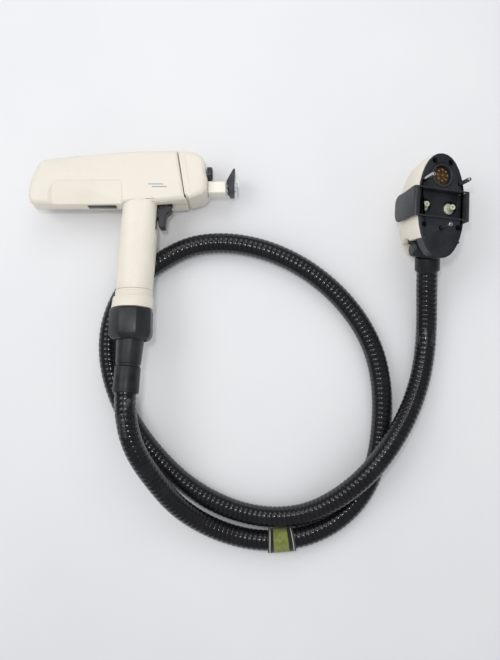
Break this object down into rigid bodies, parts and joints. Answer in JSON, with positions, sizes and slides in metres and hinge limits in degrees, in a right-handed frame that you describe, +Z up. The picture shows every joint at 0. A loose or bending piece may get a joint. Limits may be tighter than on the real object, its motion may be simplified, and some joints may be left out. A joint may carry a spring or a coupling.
{
  "type": "ipl hair remover",
  "caption": "Pistol-shaped pulsed-light hair removal applicator with trigger, lock knob and light guide tip, on a ribbed umbilical hose ending in an oval water and power connector.",
  "frame": {"origin": "centre of the applicator's box on the table, measured without the hose and its connector", "axes": "+X along the head to the light tip, +Y from the hose gland up the handle to the head, +Z up off the table; the applicator lies on its side"},
  "size_m": [0.4488, 0.4266, 0.0857],
  "materials": {
    "housing_cream": "satin moulded plastic",
    "nozzle_cream": "satin moulded plastic",
    "black_plastic": "satin",
    "soft_black": "matt",
    "hose_black": "ribbed, satin",
    "steel": "turned",
    "glass": "clear",
    "ceramic": "matt",
    "circuit_green": "solder mask",
    "clear_tube": "translucent",
    "strap_green": "woven",
    "face_black": "fine texture",
    "bracket_black": "satin",
    "nipple_white": "polished",
    "contact_brown": "moulded"
  },
  "bodies": {
    "applicator": {"body_half_near": "housing_cream", "body_half_far": "housing_cream", "nose_cover": "housing_cream", "nozzle": "nozzle_cream", "light_guide": "glass", "guide_flare": "black_plastic", "trigger_pin": "steel", "trigger_spring": "steel", "microswitch": "soft_black", "lamp_chassis": "bracket_black", "reflector": "steel", "flow_tube": "glass", "flash_lamp": "glass", "lamp_cap_near": "ceramic", "lamp_cap_far": "ceramic", "filter_glass": "contact_brown", "filter_frame": "black_plastic", "water_tube_in": "clear_tube", "water_tube_out": "clear_tube", "lamp_lead": "soft_black", "ignition_coil": "contact_brown", "control_board": "circuit_green", "body_screw_1": "steel", "body_screw_2": "steel", "body_screw_3": "steel", "body_screw_4": "steel", "grip_collar": "housing_cream", "gland_nut": "black_plastic", "gland_body": "black_plastic", "gland_seal": "soft_black", "hose_sleeve": "soft_black", "rating_label": "soft_black", "hose": "hose_black", "hose_strap": "strap_green", "plug_shell": "housing_cream", "plug_face": "face_black", "plug_bracket": "bracket_black", "contact_socket": "black_plastic", "contact_insert": "contact_brown", "water_nipple_1": "nipple_white", "water_nipple_2": "nipple_white", "guide_pin_1": "steel", "guide_pin_2": "steel", "guide_pin_3": "steel", "face_screw_1": "steel", "face_screw_2": "steel", "face_screw_3": "steel", "face_screw_4": "steel", "plug_elbow": "black_plastic", "plug_sleeve": "soft_black"},
    "trigger": {"trigger": "black_plastic"},
    "switch_plunger": {"switch_plunger": "nipple_white"},
    "lock_knob": {"lock_knob": "black_plastic", "knob_shaft": "steel"}
  },
  "joints": [
    {"name": "trigger_pull", "type": "hinge", "parent": "applicator", "child": "trigger", "pos_m": [0.03325, 0.07234, 0.02731], "axis": [0, -0.165, -0.9863], "range_deg": [0, 8], "stiffness_Nm_per_rad": 0.4, "springref_deg": -2.86},
    {"name": "switch_press", "type": "slide", "parent": "applicator", "child": "switch_plunger", "axis": [-1, 0, 0], "range_m": [0, 0.0018]},
    {"name": "lock_knob_turn", "type": "hinge", "parent": "applicator", "child": "lock_knob", "pos_m": [0.07555, 0.10479, 0.02188], "axis": [1, 0, 0], "range_deg": [0, 90]}
  ],
  "couplings": [
    {"joint": "switch_press", "follows": "trigger_pull", "m_per_rad": 0.01288}
  ]
}
